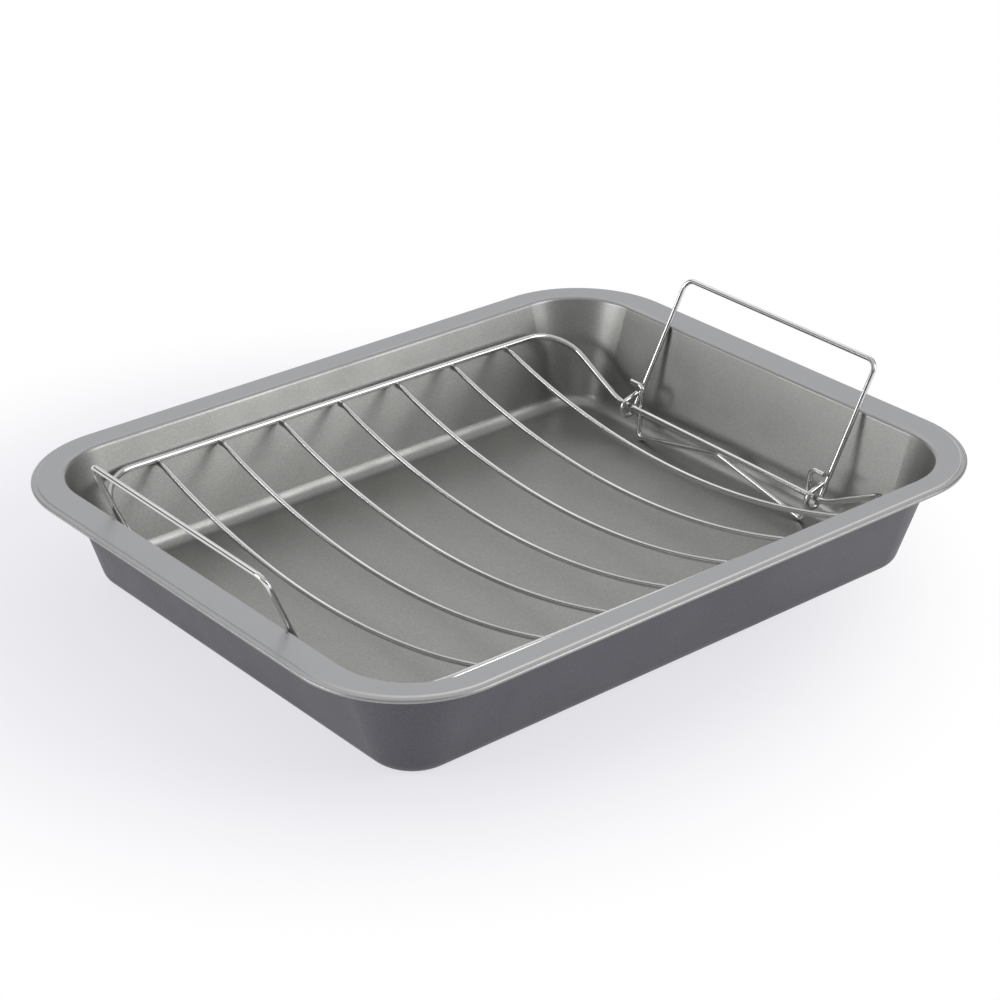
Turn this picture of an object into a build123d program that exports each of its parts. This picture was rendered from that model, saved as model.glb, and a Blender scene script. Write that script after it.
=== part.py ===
from build123d import *
from math import acos, atan2, cos, degrees, hypot, radians, sin, tan
import os

# Roasting pan with a wire rack that stands in it
# Millimetres. The origin is the middle of the pan's underside, +X runs along the long side, +Z is up.

# Pan, pressed from one sheet
sheet = 0.8
rim_length = 420.0
rim_width = 335.0
rim_corner_r = 61.0
pan_height = 62.0
rim_end_width = 19.7
rim_side_width = 15.7
opening_corner_r = 40.2
wall_lean_deg = 17.0
bottom_bend_r = 8.4
lip_bend_r = 2.8

# The rim's edge steps down and is folded under
hem_width = 3.4
hem_step = 0.45
hem_step_run = 0.7
hem_height = 2.7
hem_bend_share = 0.48
hem_step_r = 0.3
hem_return = 2.6
hem_lap = 1.5

# Rack frame, one closed loop of the thicker wire
frame_wire_d = 3.6
rack_end_room = 29.4
rack_side_room = 13.2
side_height = 47.0
end_height = 19.4
frame_corner_r = 24.0
dip_half_width = 84.0
dip_bend_r = 25.0

# Cross wires, which hang like a cradle from side to side
thin_wire_d = 3.0
cross_wire_count = 7
cross_wire_pitch_share = 0.1244
cross_wire_sag = 21.3
cross_wire_stub = 3.0
cross_wire_bend_r = 9.0
cross_wire_overhang = 0.8
weld_sink = 0.4

# Support under each end: two feet, a middle that touches the end wire, and a hook beside each handle leg
foot_half_width = 67.8
foot_bend_r = 3.6
middle_bend_r = 14.0
upright_top_half_width = 68.3
hook_height = 13.3
hook_outset = 4.2
hook_reach = 10.0
hook_bend_r = 3.6

# Handles, one bail at each end
handle_half_width = 75.4
handle_rise = 80.5
handle_bend_r = 6.0
leg_offset = 5.4
eye_drop = 6.4
eye_clearance = 1.5
eye_tip_gap = 0.4
eye_knee_height = 1.2
eye_knee_r = 3.2
eye_tip_turn_deg = 45.0
eye_bend_share = 0.49

# Where the rack stands in the pan
rack_shift_x = -2.4
rack_shift_y = 2.8
rack_turn_deg = -1.0
running_gap = 0.3

# Sizes worked out from the ones above
opening_length = rim_length - 2 * rim_end_width
opening_width = rim_width - 2 * rim_side_width
rack_length = opening_length - 2 * rack_end_room
rack_width = opening_width - 2 * rack_side_room
cross_wire_pitch = rack_length * cross_wire_pitch_share
wall_lean = radians(wall_lean_deg)
frame_r = frame_wire_d / 2
thin_r = thin_wire_d / 2
weld_offset = frame_r + thin_r - weld_sink
end_x = rack_length / 2
side_y = rack_width / 2
foot_height = thin_r


def wire_along(path, diameter):
    """A round wire that follows a path."""
    start = Plane(origin=path @ 0, z_dir=path % 0)
    return sweep(start * Circle(diameter / 2), path=path)


def bent_wire(points, bends, diameter):
    """A wire through straight runs, with one bend radius for each inner point."""
    return wire_along(FilletPolyline(*points, radius=bends), diameter)


def both_ends(points):
    """Carries a half path over to the other side of the XZ plane."""
    return points + [(x, -y, z) for x, y, z in reversed(points)]


def folded_sheet(points, bends):
    """Section of the sheet in the XZ plane: a line with rounded bends, thickened to its right."""
    runs = [Vector(*after) - Vector(*before) for before, after in zip(points, points[1:])]
    normals = [Vector(run.Y, -run.X).normalized() for run in runs]
    before_and_after = list(zip([normals[0]] + normals, normals + [normals[-1]]))
    back = [
        Vector(*point) + (one + two) * sheet / (1 + one.dot(two))
        for point, (one, two) in zip(points, before_and_after)
    ]
    turns = [two.cross(one).Z > 0 for one, two in before_and_after[1:-1]]
    back_bends = [
        max(bend - sheet, 0) if inward else bend + sheet for bend, inward in zip(bends, turns)
    ]
    outline = FilletPolyline(
        *points,
        *back[::-1],
        radius=[0, *bends, 0, 0, *back_bends[::-1], 0],
        close=True,
    )
    return Plane.XZ * make_face(outline)


def carried_round(section, length, width, corner_r):
    """Carries a section round a rounded rectangle. The section's X is measured outward from that outline."""
    reach = (length / 2 - corner_r, width / 2 - corner_r)
    pieces = []
    for quarter in range(4):
        across, along = reach if quarter % 2 == 0 else reach[::-1]
        start = Pos(across + corner_r, along, 0) * section
        centre = Axis((across, along, 0), (0, 0, 1))
        bend = revolve(start, centre, revolution_arc=90)
        straight = extrude(start, amount=2 * along, dir=(0, -1, 0))
        pieces += [Rot(0, 0, 90 * quarter) * bend, Rot(0, 0, 90 * quarter) * straight]
    return pieces


def plate(length, width, corner_r, underside):
    """A flat piece of the sheet with rounded corners."""
    return Pos(0, 0, underside) * extrude(RectangleRounded(length, width, corner_r), sheet)


def make_pan():
    """The walls, the floor, the flat rim and its folded edge, joined into one sheet."""
    wall_run = (pan_height - sheet) * tan(wall_lean)
    floor_end = wall_run + bottom_bend_r
    wall = folded_sheet(
        [(-floor_end, sheet), (-wall_run, sheet), (0, pan_height), (lip_bend_r, pan_height)],
        [bottom_bend_r, lip_bend_r],
    )
    hem_floor = pan_height - hem_height
    step_floor = pan_height - hem_step
    hem_bend_r = hem_bend_share * (hem_height - hem_step)
    hem = folded_sheet(
        [
            (-hem_width - hem_lap, pan_height),
            (-hem_width, pan_height),
            (-hem_width + hem_step_run, step_floor),
            (0, step_floor),
            (0, hem_floor),
            (-hem_return, hem_floor),
        ],
        [hem_step_r, hem_step_r, hem_bend_r, hem_bend_r],
    )
    walls = carried_round(wall, opening_length, opening_width, opening_corner_r)
    edge = carried_round(hem, rim_length, rim_width, rim_corner_r)
    floor = plate(
        opening_length - 2 * floor_end,
        opening_width - 2 * floor_end,
        opening_corner_r - floor_end,
        0,
    )
    flat_inset = hem_width + hem_lap
    rim_underside = pan_height - sheet
    rim = plate(
        rim_length - 2 * flat_inset,
        rim_width - 2 * flat_inset,
        rim_corner_r - flat_inset,
        rim_underside,
    )
    mouth = plate(
        opening_length + 2 * lip_bend_r,
        opening_width + 2 * lip_bend_r,
        opening_corner_r + lip_bend_r,
        rim_underside,
    )
    return floor.fuse(*walls, rim - mouth, *edge).clean()


def make_frame():
    """Half of the loop from the middle of one long side to the middle of the other, then its mirror image."""
    quarter = [
        (0, side_y, side_height),
        (end_x, side_y, side_height),
        (end_x, dip_half_width, end_height),
    ]
    bends = [frame_corner_r, dip_bend_r, dip_bend_r, frame_corner_r]
    half = bent_wire(both_ends(quarter), bends, frame_wire_d)
    return half.fuse(mirror(half, Plane.YZ))


def make_cross_wire(frame):
    """A flat stub under each side of the frame, a short bend, and one long arc between them."""
    top = side_height - weld_offset
    low = top - cross_wire_sag
    bend_y = side_y - cross_wire_stub
    arc_r = (bend_y**2 + cross_wire_sag**2) / (2 * cross_wire_sag) - cross_wire_bend_r
    share = arc_r / (arc_r + cross_wire_bend_r)
    join_y = bend_y * share
    join_z = low + arc_r - (arc_r + cross_wire_bend_r - cross_wire_sag) * share
    end_y = side_y + cross_wire_overhang
    path = Wire(
        [
            Line((0, -end_y, top), (0, -bend_y, top)),
            TangentArc((0, -bend_y, top), (0, -join_y, join_z), tangent=(0, 1, 0)),
            ThreePointArc((0, -join_y, join_z), (0, 0, low), (0, join_y, join_z)),
            TangentArc((0, bend_y, top), (0, join_y, join_z), tangent=(0, -1, 0)),
            Line((0, bend_y, top), (0, end_y, top)),
        ]
    )
    return wire_along(path, thin_wire_d)


def make_support():
    """The right-hand support: hook, upright and foot on each side, and the raised middle under the end wire."""
    upright_slope = (hook_outset - weld_offset) / hook_height
    foot_x = end_x + weld_offset - (end_height - foot_height) * upright_slope
    hook_x = end_x + hook_outset
    hook_z = end_height + hook_height
    half = [
        (hook_x, upright_top_half_width + hook_reach, hook_z),
        (hook_x, upright_top_half_width, hook_z),
        (foot_x, foot_half_width, foot_height),
    ]
    middle = [(end_x, 0, end_height - weld_offset)]
    points = half + middle + [(x, -y, z) for x, y, z in reversed(half)]
    bends = [hook_bend_r, foot_bend_r, middle_bend_r, foot_bend_r, hook_bend_r]
    return bent_wire(points, bends, thin_wire_d)


def make_handle():
    """A bail that stands upright, with its hinge on the Y axis and its legs on the +X side of it."""
    eye_front = frame_r + thin_r + eye_clearance
    turn = radians(eye_tip_turn_deg)
    tip_x = leg_offset - thin_r - eye_tip_gap - thin_r * cos(turn)
    tip_z = eye_knee_height + (tip_x + eye_front) / tan(turn)
    half = [
        (tip_x, handle_half_width, tip_z),
        (-eye_front, handle_half_width, eye_knee_height),
        (-eye_front, handle_half_width, -eye_drop),
        (leg_offset, handle_half_width, -eye_drop),
        (leg_offset, handle_half_width, handle_rise),
    ]
    eye_r = eye_bend_share * (eye_front + leg_offset)
    bends = [eye_knee_r, eye_r, eye_r, handle_bend_r]
    return bent_wire(both_ends(half), bends + bends[::-1], thin_wire_d)


def handle_lean(side, rack_lift):
    """Angle from upright at which a leg lies on the rounded lip of the pan, in degrees."""
    lip_z = pan_height - lip_bend_r
    lip_x = opening_length / 2 - lip_bend_r * tan(wall_lean) + lip_bend_r / cos(wall_lean)
    turn = radians(rack_turn_deg)
    nearer = lip_x - side * rack_shift_x - handle_half_width * abs(sin(turn))
    across = nearer / cos(turn) - end_x
    above = lip_z - rack_lift - end_height
    held_off = leg_offset + lip_bend_r + thin_r + running_gap
    return degrees(acos(held_off / hypot(across, above)) - atan2(above, across))


def make_parts():
    """Every piece at its place, by name."""
    frame = make_frame()
    cross_wire = make_cross_wire(frame)
    support = make_support()
    handle = make_handle()
    rack_lift = sheet + running_gap - support.bounding_box().min.Z
    rack_place = Pos(rack_shift_x, rack_shift_y, rack_lift) * Rot(0, 0, rack_turn_deg)
    hinge_place = Pos(end_x, 0, end_height)
    right_handle = hinge_place * Rot(0, handle_lean(1, rack_lift), 0) * handle
    left_handle = mirror(hinge_place * Rot(0, handle_lean(-1, rack_lift), 0) * handle, Plane.YZ)
    rack = {
        "rack_frame": frame,
        "rack_support_right": support - frame,
        "rack_support_left": mirror(support, Plane.YZ) - frame,
        "rack_handle_right": right_handle,
        "rack_handle_left": left_handle,
    }
    middle = (cross_wire_count - 1) / 2
    for number in range(cross_wire_count):
        place = Pos((number - middle) * cross_wire_pitch, 0, 0)
        rack[f"cross_wire_{number + 1}"] = place * cross_wire - frame
    parts = {"pan": make_pan()}
    for name, piece in rack.items():
        parts[name] = rack_place * piece
    return parts


parts = make_parts()
os.makedirs("parts", exist_ok=True)
for name, piece in parts.items():
    export_step(piece, f"parts/{name}.step")
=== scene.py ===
from math import pi, radians

import bpy
from bpy.props import FloatProperty, FloatVectorProperty, PointerProperty
from mathutils import Euler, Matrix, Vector


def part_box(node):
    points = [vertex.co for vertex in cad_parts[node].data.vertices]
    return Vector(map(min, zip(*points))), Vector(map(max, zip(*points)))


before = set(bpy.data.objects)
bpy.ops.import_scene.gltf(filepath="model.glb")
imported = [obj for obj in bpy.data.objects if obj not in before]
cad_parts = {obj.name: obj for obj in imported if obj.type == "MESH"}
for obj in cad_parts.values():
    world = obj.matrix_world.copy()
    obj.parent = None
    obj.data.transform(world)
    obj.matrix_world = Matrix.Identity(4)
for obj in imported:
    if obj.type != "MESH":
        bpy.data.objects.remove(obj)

bl_info = {
    "name": "Roasting pan with rack",
    "version": (1, 0, 0),
    "blender": (4, 5, 0),
    "location": "3D View > Sidebar > Roasting pan",
    "description": "Finishes for a coated roasting pan, its wire rack and the table they stand on",
    "category": "Object",
}

PAN = "pan"
WIRES = [name for name in sorted(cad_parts) if name != PAN]
PAN_LOW, PAN_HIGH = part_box(PAN)

WHITE = (1.0, 1.0, 1.0, 1.0)
FLECK_SIZE = 0.0006
RIM_CORNER = 0.061

# Where each noise starts and stops to show.
FLECK_RANGE = (0.42, 0.72)
MOTTLE_RANGE = (0.3, 0.7)
SMUDGE_RANGE = (0.35, 0.75)
MOTTLES_PER_METRE = 38.0

# A face counts as inside by how far it looks to the middle of the pan and upward.
INSIDE_RANGE = (-0.05, 0.05)
UPWARD_WEIGHT = 0.6
# The folded edge keeps the inside's coating, down to faces that look this far down.
UPWARD_RANGE = (-0.55, -0.35)
EDGE_BLEND = 0.0004
RIM_BLEND = 0.0008

# The painted highlight line along the step of the rim is on the near side: shares of the way from
# the middle to the near edge.
HIGHLIGHT_FROM, HIGHLIGHT_TO = 0.55, 0.95
LINE_CORE = 0.4

# The table lies this far under the pan, so that the two faces don't mix.
TABLE_DROP = 0.0002
CAMERA_NEAR, CAMERA_FAR = 0.05, 50.0

# Turn and rise in degrees, seen from the pan; far and size in metres; light is how bright
# the panel's face is.
LAMPS = [
    {"name": "key_lamp", "turn": -57, "rise": 28, "far": 1.9, "size": (0.85, 1.4), "light": 3.0},
    {"name": "back_lamp", "turn": 58, "rise": 30, "far": 2.8, "size": (4.4, 2.8), "light": 0.53},
    {"name": "left_lamp", "turn": 158, "rise": 19, "far": 2.0, "size": (1.3, 0.6), "light": 4.2},
]


def colour_property(name, description, default):
    """A colour that a user may change."""
    return FloatVectorProperty(
        name=name, description=description, default=default, subtype="COLOR", min=0.0, max=1.0
    )


def length_property(name, description, default):
    """A length in metres that a user may change."""
    return FloatProperty(
        name=name, description=description, default=default, unit="LENGTH", precision=5
    )


def place_property(name, description, default):
    """A place in the scene that a user may change."""
    return FloatVectorProperty(
        name=name,
        description=description,
        default=default,
        subtype="TRANSLATION",
        unit="LENGTH",
    )


def share_property(name, description, default):
    """A value from nothing to all."""
    return FloatProperty(
        name=name, description=description, default=default, subtype="FACTOR", min=0.0, max=1.0
    )


class PanLooks(bpy.types.PropertyGroup):
    """Colours and grain of the coated sheet."""

    inside_colour: colour_property(
        "Inside colour", "Grey metallic coating of the inside", (0.335, 0.335, 0.324)
    )
    inside_fleck_colour: colour_property(
        "Inside fleck colour", "Paler flakes in the inside coating", (0.44, 0.44, 0.425)
    )
    outside_colour: colour_property(
        "Outside colour", "Charcoal coating of the outside", (0.106, 0.104, 0.119)
    )
    outside_fleck_colour: colour_property(
        "Outside fleck colour", "Paler flakes in the outside coating", (0.15, 0.15, 0.166)
    )
    # Painted light: a paler, cooler copy of the inside coating on the flat rim, for the light the
    # upward rim catches.
    rim_lit_colour: colour_property(
        "Rim colour", "Cooler coating on the flat rim", (0.43, 0.433, 0.443)
    )
    # Painted highlight: colour and share of a pale line along the step of the rim on the near
    # side, where the step catches the lamp.
    painted_highlight_colour: colour_property(
        "Worn edge colour", "Coating rubbed thin along the step of the rim", (0.80, 0.79, 0.75)
    )
    painted_highlight_share: share_property("Worn share", "How far the coating is rubbed away", 0.9)
    inside_roughness: share_property("Inside roughness", "Gloss of the inside coating", 0.33)
    outside_roughness: share_property("Outside roughness", "Gloss of the outside coating", 0.42)
    mottle_roughness: share_property("Mottle roughness", "Gloss lost in the broad patches", 0.05)
    smudge_roughness: share_property("Smudge roughness", "Gloss lost under handling marks", 0.04)
    inside_metal: share_property("Inside metal", "Share of metal flake in the inside", 0.95)
    outside_metal: share_property("Outside metal", "Share of metal flake outside", 0.25)
    fleck_size: length_property("Fleck size", "Distance between flakes", FLECK_SIZE)
    mark_size: length_property("Mark size", "Size of handling marks", 0.05)
    pebble_depth: length_property("Pebble depth", "Depth of the coating's fine pebble", 0.00006)
    pebble_share: share_property("Pebble share", "How much of the pebble shows", 0.12)
    rim_corner: length_property("Rim corner", "Corner radius of the rim's outline", RIM_CORNER)
    step_inset: length_property("Step inset", "Distance from the edge to the step", 0.0032)
    # The step width is the half width of the painted highlight line on the step.
    step_width: length_property("Step width", "Half width of the rubbed line on the step", 0.0007)
    bead_floor: length_property("Bead floor", "Height where the folded edge ends", 0.0594)
    rim_floor: length_property("Rim floor", "Height where the flat rim starts", 0.0608)


class WireLooks(bpy.types.PropertyGroup):
    """Colour and polish of the bright wires."""

    colour: colour_property("Wire colour", "Bright plated wire", (0.72, 0.72, 0.715))
    dull_colour: colour_property("Dull colour", "Where the plating is duller", (0.66, 0.66, 0.655))
    roughness: share_property("Wire roughness", "Gloss of the plating", 0.11)
    smudge_roughness: share_property("Smudge roughness", "Gloss lost under handling marks", 0.03)
    mark_size: length_property("Mark size", "Size of handling marks", 0.03)


class StageLooks(bpy.types.PropertyGroup):
    """Table, light and camera."""

    table_colour: colour_property("Table colour", "Pale table top", (0.90, 0.89, 0.94))
    table_size: length_property("Table size", "Width of the table top", 14.0)
    table_roughness: share_property("Table roughness", "Gloss of the table top", 0.9)
    table_shine: share_property("Table shine", "Strength of the table's reflections", 0.1)
    table_white: share_property("Table white", "How white the table is close by", 0.74)
    # Painted shade: the table close by is a little darker and lavender, for the tint of the shade
    # around the pan.
    near_shade_tint: colour_property(
        "Near white", "White of the table close by", (0.93, 0.925, 0.97)
    )
    white_from: length_property("White from", "Distance where the backdrop starts", 0.19)
    white_to: length_property("White to", "Distance where the backdrop is all white", 0.34)
    shade_place: place_property(
        "Shade place", "Middle of the soft shade on the table", (-0.055, 0.045, 0.0)
    )
    sky_low: FloatProperty(name="Low sky", description="Light from the sides", default=0.16)
    sky_high: FloatProperty(name="High sky", description="Light from overhead", default=0.65)
    sky_from: share_property("Sky from", "Height in the sky where it starts to brighten", 0.45)
    sky_to: share_property("Sky to", "Height in the sky where it is brightest", 0.68)
    horizon_from: share_property("Horizon from", "Height up to which the horizon is white", 0.09)
    horizon_to: share_property("Horizon to", "Height where the white horizon ends", 0.17)
    camera_place: place_property(
        "Camera place", "Where the camera stands", (-0.803816, -0.943200, 0.672567)
    )
    camera_turn: FloatVectorProperty(
        name="Camera turn",
        description="How the camera is turned",
        default=(radians(62.93973), radians(-0.27036), radians(-40.21459)),
        subtype="EULER",
        unit="ROTATION",
    )
    camera_lens: FloatProperty(
        name="Camera lens", description="Focal length in millimetres", default=95.4045, min=1.0
    )


def deselect_all():
    """Leaves nothing selected."""
    if bpy.context.object and bpy.context.object.mode != "OBJECT":
        bpy.ops.object.mode_set(mode="OBJECT")
    bpy.ops.object.select_all(action="DESELECT")


def solid(colour):
    """A colour with full cover."""
    return (*colour, 1.0)


def add_node(tree, kind, inputs=(), **settings):
    """A node with its settings and the values or links of its inputs."""
    node = tree.nodes.new(kind)
    for name, value in settings.items():
        setattr(node, name, value)
    for socket, value in dict(inputs).items():
        if isinstance(value, bpy.types.NodeSocket):
            tree.links.new(value, node.inputs[socket])
        else:
            node.inputs[socket].default_value = value
    return node


def math_node(tree, operation, *values):
    """The result of one sum on numbers."""
    return add_node(tree, "ShaderNodeMath", enumerate(values), operation=operation).outputs[0]


def vector_node(tree, operation, *values):
    """The results of one sum on vectors."""
    return add_node(tree, "ShaderNodeVectorMath", enumerate(values), operation=operation).outputs


def split_node(tree, vector):
    """The X, Y and Z of a vector."""
    return add_node(tree, "ShaderNodeSeparateXYZ", {0: vector}).outputs


def place_outputs(tree):
    """The places and directions on the piece."""
    return add_node(tree, "ShaderNodeTexCoord").outputs


def noise_node(tree, place, scale, detail, roughness=0.5):
    """Soft noise over the surface; scale is how many waves go on a metre."""
    inputs = {"Vector": place, "Scale": scale, "Detail": detail, "Roughness": roughness}
    return add_node(tree, "ShaderNodeTexNoise", inputs).outputs["Fac"]


def range_node(tree, value, start, end):
    """Nothing at start, one at end, and smooth between."""
    inputs = {"Value": value, "From Min": start, "From Max": end}
    node = add_node(tree, "ShaderNodeMapRange", inputs, interpolation_type="SMOOTHSTEP")
    return node.outputs[0]


# The sockets of a Mix node share their names, so the next two pick them by number.
def mixed_colour(tree, share, first, second):
    """A blend of two colours."""
    inputs = {0: share, 6: first, 7: second}
    return add_node(tree, "ShaderNodeMix", inputs, data_type="RGBA").outputs[2]


def mixed_value(tree, share, first, second):
    """A blend of two numbers."""
    return add_node(tree, "ShaderNodeMix", {0: share, 2: first, 3: second}).outputs[0]


def mixed_shader(tree, share, first, second):
    """A blend of two shaders."""
    return add_node(tree, "ShaderNodeMixShader", {0: share, 1: first, 2: second}).outputs[0]


def new_group(name, inputs, outputs):
    """An empty node group with named numbers that go in, each with its default, and come out."""
    group = bpy.data.node_groups.new(name, "ShaderNodeTree")
    face = group.interface
    for label, default in inputs.items():
        socket = face.new_socket(label, in_out="INPUT", socket_type="NodeSocketFloat")
        socket.default_value = default
    for label in outputs:
        face.new_socket(label, in_out="OUTPUT", socket_type="NodeSocketFloat")
    start = group.nodes.new("NodeGroupInput")
    end = group.nodes.new("NodeGroupOutput")
    return group, start.outputs, end.inputs


def use_group(tree, name, inputs):
    """Places a node group in a material with its own values."""
    groups = bpy.data.node_groups
    return add_node(tree, "ShaderNodeGroup", inputs, node_tree=groups[name]).outputs


def make_fleck_group():
    """Fine flakes, broad patches and a faint pebble, as in a sprayed coating."""
    group, start, end = new_group(
        "coating_flecks", {"Fleck size": FLECK_SIZE}, ["Flecks", "Mottle", "Pebble"]
    )
    place = place_outputs(group)["Object"]
    fine = math_node(group, "DIVIDE", 1.0, start["Fleck size"])
    grain = noise_node(group, place, fine, detail=2.0, roughness=0.6)
    broad = noise_node(group, place, MOTTLES_PER_METRE, detail=4.0, roughness=0.55)
    group.links.new(range_node(group, grain, *FLECK_RANGE), end["Flecks"])
    group.links.new(range_node(group, broad, *MOTTLE_RANGE), end["Mottle"])
    group.links.new(grain, end["Pebble"])


def make_mark_group():
    """Soft handling marks, which change the gloss more than the colour."""
    group, start, end = new_group("handling_marks", {"Mark size": 0.03}, ["Smudges"])
    place = place_outputs(group)["Object"]
    scale = math_node(group, "DIVIDE", 1.0, start["Mark size"])
    cloud = noise_node(group, place, scale, detail=3.0)
    group.links.new(range_node(group, cloud, *SMUDGE_RANGE), end["Smudges"])


def make_inset_group():
    """Distance inward from the outline of the rim, a rounded rectangle about the origin."""
    defaults = {"Half length": PAN_HIGH.x, "Half width": PAN_HIGH.y, "Corner": RIM_CORNER}
    group, start, end = new_group("rim_inset", defaults, ["Inset"])
    parts = split_node(group, place_outputs(group)["Object"])
    corner = start["Corner"]
    over = []
    for axis, label in (("X", "Half length"), ("Y", "Half width")):
        reach = math_node(group, "SUBTRACT", start[label], corner)
        over.append(math_node(group, "SUBTRACT", math_node(group, "ABSOLUTE", parts[axis]), reach))
    past = [math_node(group, "MAXIMUM", value, 0.0) for value in over]
    squares = [math_node(group, "MULTIPLY", value, value) for value in past]
    round_part = math_node(group, "SQRT", math_node(group, "ADD", *squares))
    flat_part = math_node(group, "MINIMUM", math_node(group, "MAXIMUM", *over), 0.0)
    outward = math_node(group, "SUBTRACT", math_node(group, "ADD", round_part, flat_part), corner)
    group.links.new(math_node(group, "MULTIPLY", outward, -1.0), end["Inset"])


def new_material(name):
    """A material with no nodes yet."""
    material = bpy.data.materials.new(name)
    material.use_nodes = True
    material.node_tree.nodes.clear()
    return material, material.node_tree


def finish_material(tree, shader):
    """Links the shader to the material's output."""
    add_node(tree, "ShaderNodeOutputMaterial", {"Surface": shader})


def inside_mask(tree, looks, coords):
    """One on the inside, the rim and the folded edge, and nothing on the outside and underside."""
    across = vector_node(tree, "MULTIPLY", coords["Object"], (-1.0, -1.0, 0.0))["Vector"]
    inward = vector_node(tree, "NORMALIZE", across)["Vector"]
    lifted = vector_node(tree, "ADD", inward, (0.0, 0.0, UPWARD_WEIGHT))["Vector"]
    facing = vector_node(tree, "DOT_PRODUCT", coords["Normal"], lifted)["Value"]
    height = split_node(tree, coords["Object"])["Z"]
    upward = split_node(tree, coords["Normal"])["Z"]
    inner = range_node(tree, facing, *INSIDE_RANGE)
    above = range_node(tree, height, looks.bead_floor, looks.bead_floor + EDGE_BLEND)
    not_under = range_node(tree, upward, *UPWARD_RANGE)
    return math_node(tree, "MAXIMUM", inner, math_node(tree, "MULTIPLY", above, not_under))


def painted_highlight_mask(tree, looks, coords, inside):
    """Share of the painted highlight, a pale line along the step of the rim on the near side."""
    outline = {"Half length": PAN_HIGH.x, "Half width": PAN_HIGH.y, "Corner": looks.rim_corner}
    inset = use_group(tree, "rim_inset", outline)["Inset"]
    away = math_node(tree, "ABSOLUTE", math_node(tree, "SUBTRACT", inset, looks.step_inset))
    line = range_node(tree, away, looks.step_width, looks.step_width * LINE_CORE)
    # The painted highlight shows only on the near side, where the step faces the lamp.
    across = split_node(tree, coords["Object"])["Y"]
    near = range_node(tree, across, PAN_LOW.y * HIGHLIGHT_FROM, PAN_LOW.y * HIGHLIGHT_TO)
    near_highlight = math_node(tree, "MULTIPLY", near, looks.painted_highlight_share)
    return math_node(tree, "MULTIPLY", math_node(tree, "MULTIPLY", line, inside), near_highlight)


def make_pan_material(looks):
    """Metallic grey coating inside and charcoal coating outside, on one sheet."""
    material, tree = new_material("coated_steel")
    coords = place_outputs(tree)
    mask = inside_mask(tree, looks, coords)
    fleck = use_group(tree, "coating_flecks", {"Fleck size": looks.fleck_size})
    marks = use_group(tree, "handling_marks", {"Mark size": looks.mark_size})
    inside, outside = (
        mixed_colour(tree, fleck["Flecks"], solid(plain), solid(flake))
        for plain, flake in (
            (looks.inside_colour, looks.inside_fleck_colour),
            (looks.outside_colour, looks.outside_fleck_colour),
        )
    )
    height = split_node(tree, coords["Object"])["Z"]
    # Painted light: the flat rim gets a paler, cooler copy of the inside colour.
    rim = range_node(tree, height, looks.rim_floor, looks.rim_floor + RIM_BLEND)
    inside = mixed_colour(tree, rim, inside, solid(looks.rim_lit_colour))
    coat = mixed_colour(tree, mask, outside, inside)
    # Painted highlight: a pale line along the step of the rim on the near side.
    painted_highlight = painted_highlight_mask(tree, looks, coords, mask)
    colour = mixed_colour(tree, painted_highlight, coat, solid(looks.painted_highlight_colour))
    gloss = mixed_value(tree, mask, looks.outside_roughness, looks.inside_roughness)
    uneven = math_node(tree, "MULTIPLY_ADD", fleck["Mottle"], looks.mottle_roughness, gloss)
    rough = math_node(tree, "MULTIPLY_ADD", marks["Smudges"], looks.smudge_roughness, uneven)
    metal = mixed_value(tree, mask, looks.outside_metal, looks.inside_metal)
    pebble = {
        "Strength": looks.pebble_share,
        "Distance": looks.pebble_depth,
        "Height": fleck["Pebble"],
    }
    bump = add_node(tree, "ShaderNodeBump", pebble).outputs[0]
    coating = {"Base Color": colour, "Roughness": rough, "Metallic": metal, "Normal": bump}
    finish_material(tree, add_node(tree, "ShaderNodeBsdfPrincipled", coating).outputs[0])
    return material


def make_wire_material(looks):
    """Bright plated wire with faint duller patches."""
    material, tree = new_material("bright_wire")
    smudges = use_group(tree, "handling_marks", {"Mark size": looks.mark_size})["Smudges"]
    colour = mixed_colour(tree, smudges, solid(looks.colour), solid(looks.dull_colour))
    rough = math_node(tree, "MULTIPLY_ADD", smudges, looks.smudge_roughness, looks.roughness)
    plating = {"Base Color": colour, "Roughness": rough, "Metallic": 1.0}
    finish_material(tree, add_node(tree, "ShaderNodeBsdfPrincipled", plating).outputs[0])
    return material


def seen_mask(tree):
    """One for what the camera sees, straight or in a mirror or through glass."""
    path = add_node(tree, "ShaderNodeLightPath").outputs
    seen = math_node(tree, "MAXIMUM", path["Is Camera Ray"], path["Is Glossy Ray"])
    return math_node(tree, "MAXIMUM", seen, path["Is Transmission Ray"])


def make_table_material(looks):
    """Pale table top that turns to plain white away from the object."""
    material, tree = new_material("pale_table")
    place = place_outputs(tree)["Object"]
    distance = vector_node(tree, "DISTANCE", place, looks.shade_place)["Value"]
    beyond = range_node(tree, distance, looks.white_from, looks.white_to)
    backdrop = mixed_value(tree, beyond, looks.table_white, 1.0)
    top = {
        "Base Color": solid(looks.table_colour),
        "Roughness": looks.table_roughness,
        "Specular IOR Level": looks.table_shine,
    }
    table = add_node(tree, "ShaderNodeBsdfPrincipled", top).outputs[0]
    # Painted shade: a darker lavender white close to the pan, plain white further off.
    tint = mixed_colour(tree, beyond, solid(looks.near_shade_tint), WHITE)
    white = add_node(tree, "ShaderNodeEmission", {"Color": tint, "Strength": 1.0}).outputs[0]
    share = math_node(tree, "MULTIPLY", backdrop, seen_mask(tree))
    finish_material(tree, mixed_shader(tree, share, table, white))
    return material


def give_material(piece, material):
    """Makes this the only material of the piece."""
    piece.data.materials.clear()
    piece.data.materials.append(material)


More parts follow.
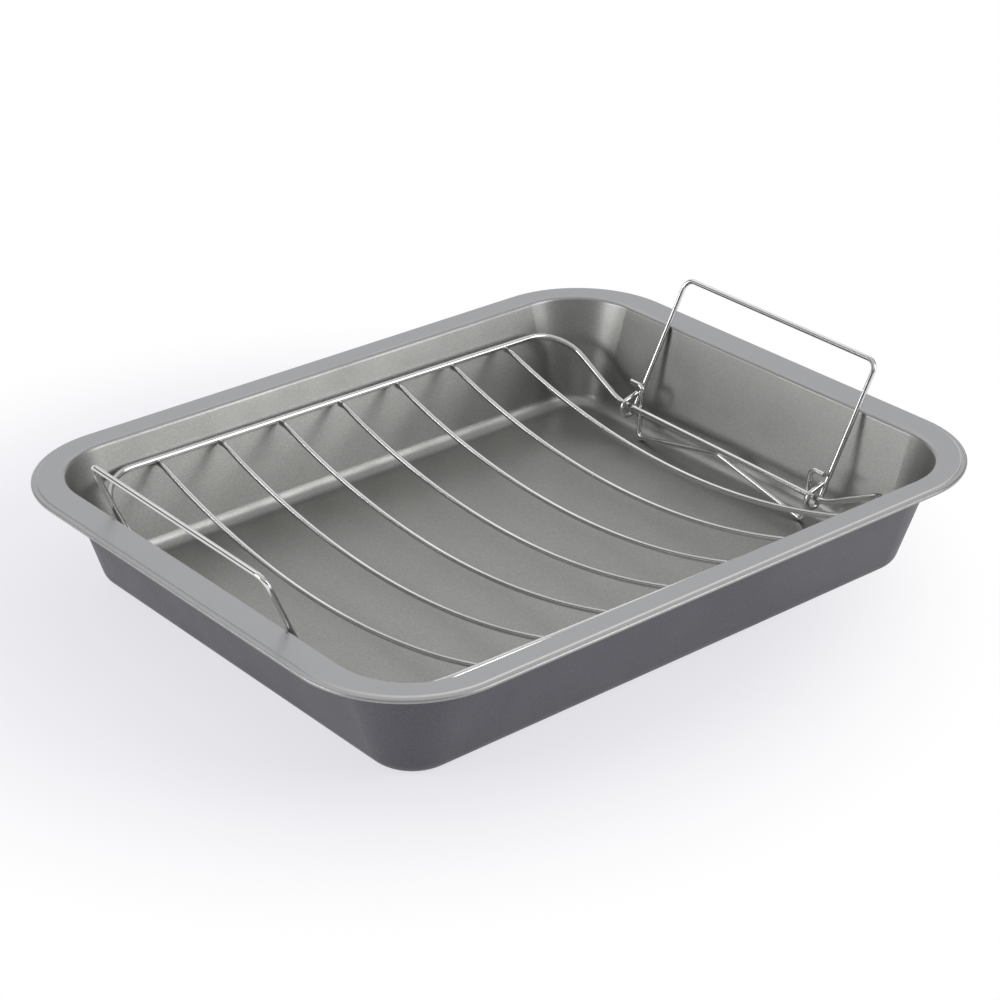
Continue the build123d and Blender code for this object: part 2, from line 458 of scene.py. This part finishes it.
def add_table(looks):
    """The table top, which only the stage has."""
    bpy.ops.mesh.primitive_plane_add(size=looks.table_size, location=(0.0, 0.0, -TABLE_DROP))
    table = bpy.context.object
    table.name = "table_top"
    bpy.ops.object.transform_apply(location=True, rotation=True, scale=True)
    give_material(table, make_table_material(looks))


def add_lamp(name, turn, rise, far, size, light):
    """A soft panel that faces the pan."""
    towards = Euler((0.0, -radians(rise), radians(turn))).to_matrix() @ Vector((1.0, 0.0, 0.0))
    face = (-towards).to_track_quat("-Z", "Y").to_euler()
    bpy.ops.object.light_add(type="AREA", location=towards * far, rotation=face)
    lamp = bpy.context.object
    lamp.name = name
    lamp.data.shape = "RECTANGLE"
    lamp.data.size, lamp.data.size_y = size
    lamp.data.energy = light * pi * size[0] * size[1]


def make_world(looks):
    """A sky that is dim at the sides, bright overhead and white along the horizon."""
    world = bpy.data.worlds.new("studio_sky")
    world.use_nodes = True
    tree = world.node_tree
    tree.nodes.clear()
    height = split_node(tree, place_outputs(tree)["Generated"])["Z"]
    bright = range_node(tree, height, looks.sky_from, looks.sky_to)
    strength = mixed_value(tree, bright, looks.sky_low, looks.sky_high)
    sky, white = (
        add_node(tree, "ShaderNodeBackground", {"Color": WHITE, "Strength": level}).outputs[0]
        for level in (strength, 1.0)
    )
    low = range_node(tree, height, looks.horizon_to, looks.horizon_from)
    share = math_node(tree, "MULTIPLY", seen_mask(tree), low)
    surface = mixed_shader(tree, share, sky, white)
    add_node(tree, "ShaderNodeOutputWorld", {"Surface": surface})
    return world


def add_camera(looks):
    """The camera, at the photograph's viewing angle."""
    bpy.ops.object.camera_add(location=looks.camera_place, rotation=looks.camera_turn)
    camera = bpy.context.object
    camera.name = "camera"
    camera.data.lens = looks.camera_lens
    camera.data.clip_start = CAMERA_NEAR
    camera.data.clip_end = CAMERA_FAR
    bpy.context.scene.camera = camera


class ROASTER_OT_effects(bpy.types.Operator):
    """Make the shader groups that the finishes share"""

    bl_idname = "roaster.effects"
    bl_label = "Make effects"

    def execute(self, context):
        make_fleck_group()
        make_mark_group()
        make_inset_group()
        return {"FINISHED"}


class ROASTER_OT_pan(bpy.types.Operator):
    """Coat the pan"""

    bl_idname = "roaster.pan"
    bl_label = "Coat the pan"

    def execute(self, context):
        give_material(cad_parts[PAN], make_pan_material(context.scene.roaster_pan))
        return {"FINISHED"}


class ROASTER_OT_wires(bpy.types.Operator):
    """Plate the wires of the rack and its handles"""

    bl_idname = "roaster.wires"
    bl_label = "Plate the wires"

    def execute(self, context):
        material = make_wire_material(context.scene.roaster_wire)
        for name in WIRES:
            give_material(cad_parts[name], material)
        return {"FINISHED"}


class ROASTER_OT_stage(bpy.types.Operator):
    """Set up the table, the light and the camera"""

    bl_idname = "roaster.stage"
    bl_label = "Set the stage"

    def execute(self, context):
        looks = context.scene.roaster_stage
        deselect_all()
        add_table(looks)
        for lamp in LAMPS:
            add_lamp(**lamp)
        context.scene.world = make_world(looks)
        add_camera(looks)
        context.scene.view_settings.view_transform = "Standard"
        deselect_all()
        return {"FINISHED"}


class ROASTER_PT_panel(bpy.types.Panel):
    """Buttons and looks in the sidebar"""

    bl_idname = "ROASTER_PT_panel"
    bl_label = "Roasting pan"
    bl_space_type = "VIEW_3D"
    bl_region_type = "UI"
    bl_category = "Roasting pan"

    def draw(self, context):
        for operator, looks in STEPS:
            self.layout.operator(operator.bl_idname)
            if looks:
                group = getattr(context.scene, looks)
                for name in group.__annotations__:
                    self.layout.prop(group, name)


STEPS = [
    (ROASTER_OT_effects, ""),
    (ROASTER_OT_pan, "roaster_pan"),
    (ROASTER_OT_wires, "roaster_wire"),
    (ROASTER_OT_stage, "roaster_stage"),
]
LOOKS = {"roaster_pan": PanLooks, "roaster_wire": WireLooks, "roaster_stage": StageLooks}
CLASSES = [*LOOKS.values(), *(operator for operator, looks in STEPS), ROASTER_PT_panel]


def register():
    """Makes the classes and their properties known."""
    for item in CLASSES:
        bpy.utils.register_class(item)
    for name, looks in LOOKS.items():
        setattr(bpy.types.Scene, name, PointerProperty(type=looks))


def unregister():
    """Takes the properties and the classes away again."""
    for name in LOOKS:
        delattr(bpy.types.Scene, name)
    for item in reversed(CLASSES):
        bpy.utils.unregister_class(item)


def main():
    """Runs the steps in order."""
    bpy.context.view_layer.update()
    register()
    bpy.ops.roaster.effects()
    bpy.ops.roaster.pan()
    bpy.ops.roaster.wires()
    bpy.ops.roaster.stage()


if __name__ == "__main__":
    main()
